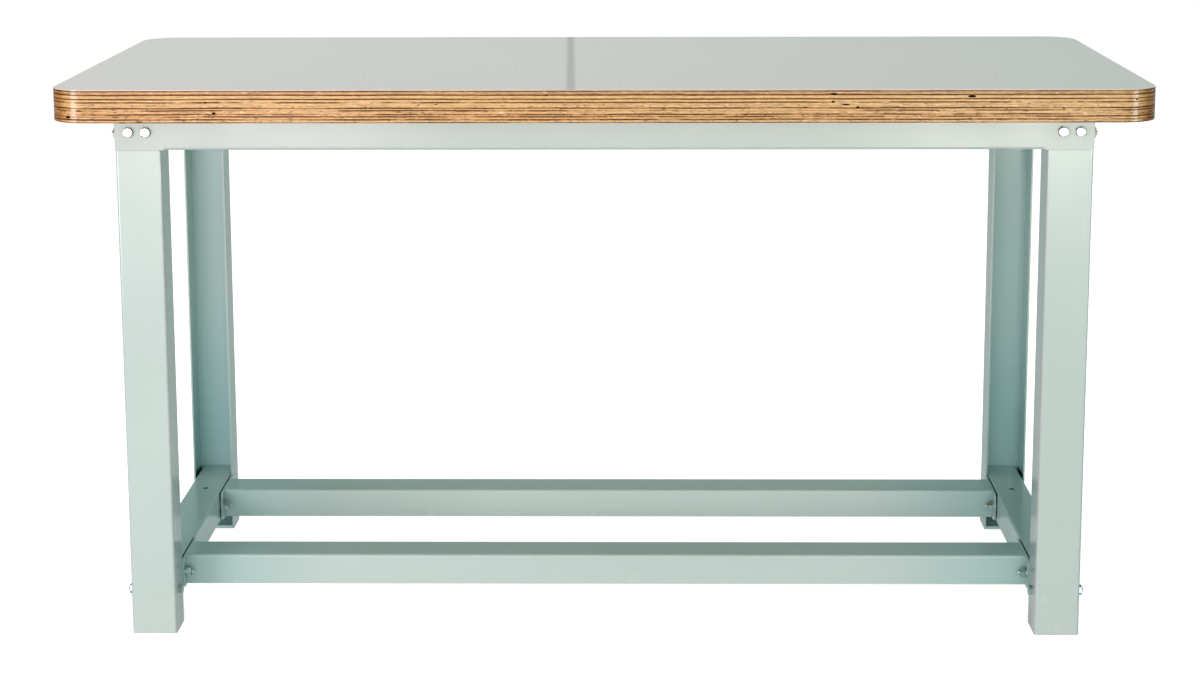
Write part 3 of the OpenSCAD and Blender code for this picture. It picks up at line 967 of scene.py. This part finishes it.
def hollow_places(low, high, corner):
    """Every hollow of the board's edge as (place, turn about z, width, height)."""
    dice = random.Random(7)
    found = []

    def strew(count, axis, edge, turn):
        """Hollows at random along one edge of the board, near its glue lines."""
        for _ in range(count):
            place = edge.copy()
            place[axis] = dice.uniform(low[axis] + corner, high[axis] - corner)
            depth = dice.choice(GLUE_LINES[1:-1])[0] + dice.uniform(-2.0, 2.0)
            place.z = high.z - depth * MM
            found.append((place, turn, dice.uniform(3, 12) * MM, dice.uniform(1.1, 2.2) * MM))

    for along, depth, width, height in FRONT_HOLLOWS:
        found.append((Vector((along * MM, low.y, high.z - depth * MM)), 0.0, width * MM, height * MM))
    for side, degrees, depth, width, height in CORNER_HOLLOWS:
        angle = math.radians(degrees)
        out = Vector((side * math.sin(angle), -math.cos(angle), 0))
        middle = Vector((side * (high.x - corner), low.y + corner, high.z - depth * MM))
        found.append((middle + out * corner, side * angle, width * MM, height * MM))
    strew(10, X, Vector((0, high.y, 0)), 0.0)
    for side in SIDES:
        strew(5, Y, Vector((side * high.x, 0, 0)), math.pi / 2)
    return found


def rounding(radius, steps):
    """Steps of a quarter round: (how far up, how far set in) from its bottom."""
    for i in range(steps + 1):
        angle = math.pi / 2 * i / steps
        yield radius * (1 - math.cos(angle)), radius * (1 - math.sin(angle))


def make_board(sizes):
    """The plywood board: lower edge rounded, small hollows in its edge."""
    low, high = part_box("worktop_core")
    levels = [(low.z + up, inset) for up, inset in rounding(sizes.arris, 4)]
    mesh = slab(high.x, high.y, sizes, levels + [(high.z, 0.0)])
    hollow = mesh.verts.layers.float.new("hollow")
    turn = mesh.verts.layers.float.new("turn")
    size = mesh.verts.layers.float_vector.new("size")
    for place, angle, width, height in hollow_places(low, high, sizes.corner):
        vert = mesh.verts.new(place)
        vert[hollow] = 1.0
        vert[turn] = angle
        vert[size] = (width / 2, sizes.hollow_deep, height / 2)
    mesh = new_mesh("worktop_board", mesh)
    return keep_flats_flat(hollows_tree().make("worktop_board", mesh, "plywood", Unevenness=1.0 * MM))


def make_laminate(sizes):
    """The laminate sheet with a softened upper edge."""
    low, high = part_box("worktop_laminate")
    edge = 0.45 * MM
    levels = [(high.z - inset, up) for up, inset in rounding(edge, 3)]
    mesh = new_mesh("worktop_sheet", slab(high.x, high.y, sizes, [(low.z, 0.0)] + levels))
    mesh.materials.append(material("laminate"))
    smooth_folds(mesh)
    return keep_flats_flat(new_object("worktop_sheet", mesh))


# Sheet steel

LEVEL = (0.0, 0.0, 0.0)
# How a shape that is made upright is turned to lie along x or y
ALONG = {X: (math.pi / 2, 0.0, math.pi / 2), Y: (math.pi / 2, 0.0, 0.0)}


def add_holes(blank, node):
    """Adds the holes of every bolt and bolt pattern that goes through a piece's box."""
    play = bpy.context.scene.bench_sizes.play
    low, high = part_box(node)
    reach = 2 * MM
    punch_l = 12 * MM
    for bolt in all_bolts():
        a = bolt.axis
        solid = bolt.solid
        beside = all(low[i] < solid.middle[i] < high[i] for i in range(3) if i != a)
        if beside and solid.high[a] > low[a] and solid.low[a] < high[a]:
            start = max(solid.low[a], low[a] - reach)
            stop = min(solid.high[a], high[a] + reach)
            middle = solid.middle.copy()
            middle[a] = (start + stop) / 2
            blank.point(middle, hole=bolt.shank / 2 + play / 2, span=tuple(AXES[a] * (stop - start)))
    for place, radius in pattern_holes():
        inside = all(low[i] < place[i] < high[i] for i in (X, Y))
        if inside and low.z - reach < place.z < high.z + reach:
            top = high.z + reach
            bottom = max(low.z, high.z - punch_l) - reach
            middle = Vector((place.x, place.y, (top + bottom) / 2))
            blank.point(middle, hole=radius, span=(0.0, 0.0, top - bottom))


def facing(box):
    """Which way along y a piece in front or at the back is open, and the y of its face."""
    return (1, box.low.y) if box.low.y < 0 else (-1, box.high.y)


def make_sheet(name, node, line, length, turn, place, tabs=()):
    """One folded sheet steel piece in place of its CAD node, from the middle line (x, y) of its section."""
    sizes = bpy.context.scene.bench_sizes
    blank = Blank()
    for x, y in line:
        blank.point((x, y, 0))
    blank.join()
    for middle, size in tabs:
        blank.point(middle, tab=1.0, size=size)
    add_holes(blank, node)
    blank.fill("hole", "tab")
    obj = folded_sheet_tree().make(
        name, blank.mesh(name), "painted_steel",
        Length=length, Sheet=sizes.sheet, Fold_Radius=sizes.fold, Fold_Steps=sizes.fold_steps,
        Turn=turn, Place=tuple(place))
    finish_piece(keep_flats_flat(obj), node)


def channel_line(width, depth, way):
    """Middle line of a folded channel: its web along y = 0, its flanges along y, one way or the other."""
    sheet = bpy.context.scene.bench_sizes.sheet
    half = (width - sheet) / 2
    web = sheet / 2
    return [(-half, way * depth), (-half, way * web), (half, way * web), (half, way * depth)]


def make_leg(name, node):
    box = Solid(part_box(node))
    way, face = facing(box)
    line = channel_line(box.size.x, box.size.y, way)
    make_sheet(name, node, line, box.size.z, LEVEL, (box.middle.x, face, box.middle.z))


def make_beam(name, node, axis):
    """Channel that lies along x or y with its open side down."""
    box = Solid(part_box(node))
    line = channel_line(box.size[Y if axis == X else X], box.size.z, -1)
    place = (box.middle.x, box.middle.y, box.high.z)
    make_sheet(name, node, line, box.size[axis], ALONG[axis], place)


def make_long_rail(name, node):
    """Front or back rail: its flange and lip stop at the legs, and its web laps over them."""
    sheet = bpy.context.scene.bench_sizes.sheet
    box = Solid(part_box(node))
    way, face = facing(box)
    gap = 0.3 * MM
    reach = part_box("leg_front_right")[0].x - gap
    lip = 20 * MM
    overlap = 5 * MM
    half = (box.size.z - sheet) / 2
    web = sheet / 2
    line = [(way * box.size.y, half), (way * web, half), (way * web, -half), (way * lip, -half)]
    tab_l = box.high.x - reach + overlap
    tab = (tab_l, sheet, box.size.z)
    tabs = [((s * (box.high.x - tab_l / 2), face + way * web, box.middle.z), tab) for s in SIDES]
    make_sheet(name, node, line, 2 * reach, ALONG[X], (0.0, face, box.middle.z), tabs)


def make_plate(name, node, outline, turn, place, thickness):
    """One flat plate in place of its CAD node. Outline is a list of (x, y, corner radius)."""
    blank = Blank()
    for x, y, corner in outline:
        blank.point((x, y, 0), corner=corner)
    blank.join(closed=True)
    add_holes(blank, node)
    blank.fill("hole")
    obj = flat_plate_tree().make(
        name, blank.mesh(name), "painted_steel",
        Thickness=thickness, Corner_Steps=8, Turn=turn, Place=tuple(place))
    soft = obj.modifiers.new("soft_edges", "BEVEL")
    soft.width = 0.4 * MM
    soft.segments = 2
    soft.limit_method = "ANGLE"
    soft.angle_limit = math.radians(50)
    clean_mesh(obj, name)
    finish_piece(keep_flats_flat(obj), node)


def make_end_plate(name, node):
    box = Solid(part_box(node))
    corner = bpy.context.scene.bench_sizes.ear_corner
    outline = [(u * box.size.y / 2, v * box.size.z / 2, corner) for u, v in CORNERS]
    place = (box.low.x, box.middle.y, box.middle.z)
    make_plate(name, node, outline, ALONG[X], place, box.size.x)


def make_foot_plate(name, node):
    """Plate in a leg's foot, rounded where it lies in the leg's folds."""
    box = Solid(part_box(node))
    way, _ = facing(box)
    sharp = 0.5 * MM
    radii = {-1: bpy.context.scene.bench_sizes.fold, 1: sharp}
    outline = [(u * box.size.x / 2, v * box.size.y / 2, radii[v * way]) for u, v in CORNERS]
    place = (box.middle.x, box.middle.y, box.low.z)
    make_plate(name, node, outline, LEVEL, place, box.size.z)


# Fasteners

def make_bolts(name, node, seed, pitch, thread_l=22 * MM, shaded_flanks=0.0):
    bolts = [Bolt(solid) for solid in solids_of(node)]
    blank = Blank()
    for bolt in bolts:
        blank.point(bolt.seat, axis=tuple(AXES[bolt.axis] * bolt.way))
    first = bolts[0]
    obj = bolt_tree().make(
        name, blank.mesh(name), "zinc",
        Across=first.across, Head_Height=first.head_h, Diameter=first.shank, Length=first.length,
        Thread_Length=min(thread_l, first.length - 1 * MM), Pitch=pitch, Tarnish=shaded_flanks, Seed=seed)
    finish_piece(obj, node)


def flat_pieces(name, node):
    """Nuts or washers of a node: a mesh of their middles, and one's widths, thickness and bore."""
    blank = Blank()
    for solid in solids_of(node):
        axis = min(range(3), key=lambda i: solid.size[i])
        blank.point(solid.middle, axis=tuple(AXES[axis]))
    widths = [s for i, s in enumerate(solid.size) if i != axis]
    bore = 2 * min(solid.off_axis(p, axis) for p in solid.points)
    return blank.mesh(name), widths, solid.size[axis], bore


def make_nuts(name, node, seed):
    mesh, widths, height, bore = flat_pieces(name, node)
    obj = nut_tree().make(name, mesh, "zinc", Across=min(widths), Height=height, Bore=bore, Seed=seed)
    finish_piece(obj, node)


def make_rings(name, node, seed):
    mesh, widths, thick, bore = flat_pieces(name, node)
    obj = ring_tree().make(
        name, mesh, "zinc",
        Outside=max(widths), Bore=bore, Thickness=thick, Edge=0.12 * thick, Seed=seed)
    finish_piece(obj, node)


# Studio

def soft_box(name, place, width, height, power, tint=(1.0, 1.0, 1.0)):
    """A flat light that looks at the middle of the bench."""
    light = bpy.data.lights.new(name, "AREA")
    light.shape = "RECTANGLE"
    light.size = width
    light.size_y = height
    light.energy = power
    light.color = tint
    obj = new_object(name, light)
    obj.location = place
    middle = Vector((0.0, 0.0, 0.45))
    obj.rotation_euler = (middle - Vector(place)).to_track_quat("-Z", "Y").to_euler()
    return obj


def make_camera(studio):
    camera = bpy.data.cameras.new("camera")
    camera.sensor_fit = "HORIZONTAL"
    camera.sensor_width = SENSOR_W
    camera.lens = studio.focal_px / PHOTO_W * SENSOR_W
    camera.shift_y = studio.shift
    camera.clip_end = 200
    obj = new_object("camera", camera)
    turn = Matrix.Rotation(studio.turn, 3, "Z")
    tilt = Matrix.Rotation(studio.tilt, 3, "X")
    roll = Matrix.Rotation(-studio.roll, 3, "Y")
    right, ahead, up = roll @ tilt @ turn
    obj.matrix_world = Matrix.Translation(studio.eye) @ Matrix((right, up, -ahead)).transposed().to_4x4()
    bpy.context.scene.camera = obj


def make_floor():
    half = 60.0
    mesh = bmesh.new()
    bmesh.ops.create_grid(mesh, x_segments=8, y_segments=8, size=half)
    data = new_mesh("floor", mesh)
    data.materials.append(material("floor"))
    obj = new_object("floor", data)
    # The pieces take their light from the lamps and the sky, and none from the floor
    obj.visible_diffuse = False
    obj.visible_glossy = False


def make_sky(studio):
    """Soft light from all round, a little different in front, behind, above, below and on the sides."""
    scene = bpy.context.scene
    world = bpy.data.worlds.new("sky")
    world.use_nodes = True
    graph = Graph(world.node_tree)
    _, ahead, up = graph.split(graph.add("ShaderNodeTexCoord")["Generated"])
    colour = graph.mix(ahead.ramp(0.1, 0.7), studio.sky_side, studio.sky_back)
    colour = graph.mix(ahead.ramp(-0.45, -0.97), colour, studio.sky_front)
    colour = graph.mix(up.ramp(0.3, 0.75), colour, studio.sky_top)
    colour = graph.mix(up.ramp(-0.12, -0.35), colour, studio.sky_low)
    # What stands behind the bench is plain white, whatever light comes from there
    seen = graph.add("ShaderNodeLightPath")["Is Camera Ray"]
    backdrop = world.node_tree.nodes["Background"]
    graph.feed(backdrop.inputs["Color"], graph.mix(seen, colour, (1.0, 1.0, 1.0)))
    scene.world = world
    scene.view_settings.view_transform = "Standard"


# Operators

class WORKBENCH_OT_stage(bpy.types.Operator):
    """Makes the camera, the floor and the soft studio light"""

    bl_idname = "workbench.stage"
    bl_label = "Studio"

    def execute(self, context):
        studio = context.scene.studio_setup
        make_camera(studio)
        make_sky(studio)
        make_floor()
        soft_box("front_left_light", (-1.9, -2.4, 0.8), 1.0, 1.0, studio.key, (1.0, 0.76, 0.83))
        soft_box("near_left_light", (-0.9, -2.7, 0.6), 0.6, 0.8, 0.8 * studio.fill, (1.0, 0.80, 0.85))
        soft_box("near_right_light", (0.95, -2.7, 0.6), 0.6, 0.8, studio.fill, (1.0, 0.98, 0.88))
        soft_box("low_front_light", (0.0, -4.2, 0.45), 2.6, 0.7, studio.low, (1.0, 0.88, 0.86))
        soft_box("back_right_light", (3.5, 3.5, 1.6), 2.0, 2.0, studio.back, (0.95, 1.0, 0.98))
        soft_box("top_light", (-1.0, 0.2, 3.8), 3.0, 2.0, studio.top, (1.0, 0.86, 0.84))
        for side, place in (("left", (-3.1, -2.7, 0.25)), ("right", (3.2, -2.6, 0.25))):
            soft_box(f"{side}_edge_light", place, 0.9, 0.7, studio.rim).visible_diffuse = False
        return {"FINISHED"}


class WORKBENCH_OT_worktop(bpy.types.Operator):
    """Makes the plywood board and the laminate on it"""

    bl_idname = "workbench.worktop"
    bl_label = "Worktop"

    def execute(self, context):
        sizes = context.scene.bench_sizes
        finish_piece(make_board(sizes), "worktop_core")
        finish_piece(make_laminate(sizes), "worktop_laminate")
        return {"FINISHED"}


class WORKBENCH_OT_legs(bpy.types.Operator):
    """Makes the four legs and the plates in their feet"""

    bl_idname = "workbench.legs"
    bl_label = "Legs"

    def execute(self, context):
        for end in ENDS:
            for side in HANDS:
                make_leg(f"leg_channel_{end}_{side}", f"leg_{end}_{side}")
                make_foot_plate(f"foot_sheet_{end}_{side}", f"foot_plate_{end}_{side}")
        return {"FINISHED"}


class WORKBENCH_OT_rails(bpy.types.Operator):
    """Makes the rails under the worktop"""

    bl_idname = "workbench.rails"
    bl_label = "Top rails"

    def execute(self, context):
        for end in ENDS:
            make_long_rail(f"rail_{end}", f"top_rail_{end}")
        for side in HANDS:
            make_beam(f"rail_{side}", f"top_rail_{side}", Y)
        return {"FINISHED"}


class WORKBENCH_OT_stretchers(bpy.types.Operator):
    """Makes the low stretchers and the plates on their ends"""

    bl_idname = "workbench.stretchers"
    bl_label = "Stretchers"

    def execute(self, context):
        for side in HANDS:
            make_beam(f"low_side_{side}", f"side_stretcher_{side}", Y)
        for end in ENDS:
            make_beam(f"low_long_{end}", f"long_stretcher_{end}", X)
            for side in HANDS:
                make_end_plate(f"eared_plate_{end}_{side}", f"end_plate_{end}_{side}")
        return {"FINISHED"}


class WORKBENCH_OT_fasteners(bpy.types.Operator):
    """Makes the bolts, nuts, washers, spacers and screws"""

    bl_idname = "workbench.fasteners"
    bl_label = "Fasteners"

    def execute(self, context):
        # Each node has a seed of its own for the random turn of its pieces
        pitch = context.scene.bench_sizes.thread_pitch
        # The rail bolts get painted shade on the flanks of their heads
        for seed, node in enumerate(BOLT_NODES):
            make_bolts(f"{node}_hex", node, seed, pitch, shaded_flanks=float(node == "rail_bolts"))
        make_bolts(f"{SCREW_NODE}_hex", SCREW_NODE, seed=3, pitch=2 * pitch, thread_l=28 * MM)
        for seed, node in enumerate(NUT_NODES, start=10):
            make_nuts(f"{node}_hex", node, seed)
        for seed, node in enumerate(RING_NODES, start=20):
            make_rings(f"{node}_round", node, seed)
        return {"FINISHED"}


OPERATORS = (
    WORKBENCH_OT_stage,
    WORKBENCH_OT_worktop,
    WORKBENCH_OT_legs,
    WORKBENCH_OT_rails,
    WORKBENCH_OT_stretchers,
    WORKBENCH_OT_fasteners,
)


class WORKBENCH_PT_panel(bpy.types.Panel):
    """Lists the bench's sizes, colours and pieces"""

    bl_idname = "WORKBENCH_PT_panel"
    bl_label = "Workbench"
    bl_space_type = "VIEW_3D"
    bl_region_type = "UI"
    bl_category = "Workbench"

    def draw(self, context):
        scene = context.scene
        for group in (scene.bench_sizes, scene.bench_colours, scene.studio_setup):
            box = self.layout.box()
            for name in group.bl_rna.properties.keys():
                if name not in ("rna_type", "name"):
                    box.prop(group, name)
        for operator in OPERATORS:
            self.layout.operator(operator.bl_idname)


CLASSES = (BenchSizes, BenchColours, StudioSetup, *OPERATORS, WORKBENCH_PT_panel)


def register():
    for one in CLASSES:
        bpy.utils.register_class(one)
    bpy.types.Scene.bench_sizes = bpy.props.PointerProperty(type=BenchSizes)
    bpy.types.Scene.bench_colours = bpy.props.PointerProperty(type=BenchColours)
    bpy.types.Scene.studio_setup = bpy.props.PointerProperty(type=StudioSetup)


def unregister():
    del bpy.types.Scene.studio_setup
    del bpy.types.Scene.bench_colours
    del bpy.types.Scene.bench_sizes
    for one in reversed(CLASSES):
        bpy.utils.unregister_class(one)


def main():
    register()
    bpy.ops.workbench.stage()
    bpy.ops.workbench.worktop()
    bpy.ops.workbench.legs()
    bpy.ops.workbench.rails()
    bpy.ops.workbench.stretchers()
    bpy.ops.workbench.fasteners()


if __name__ == "__main__":
    main()
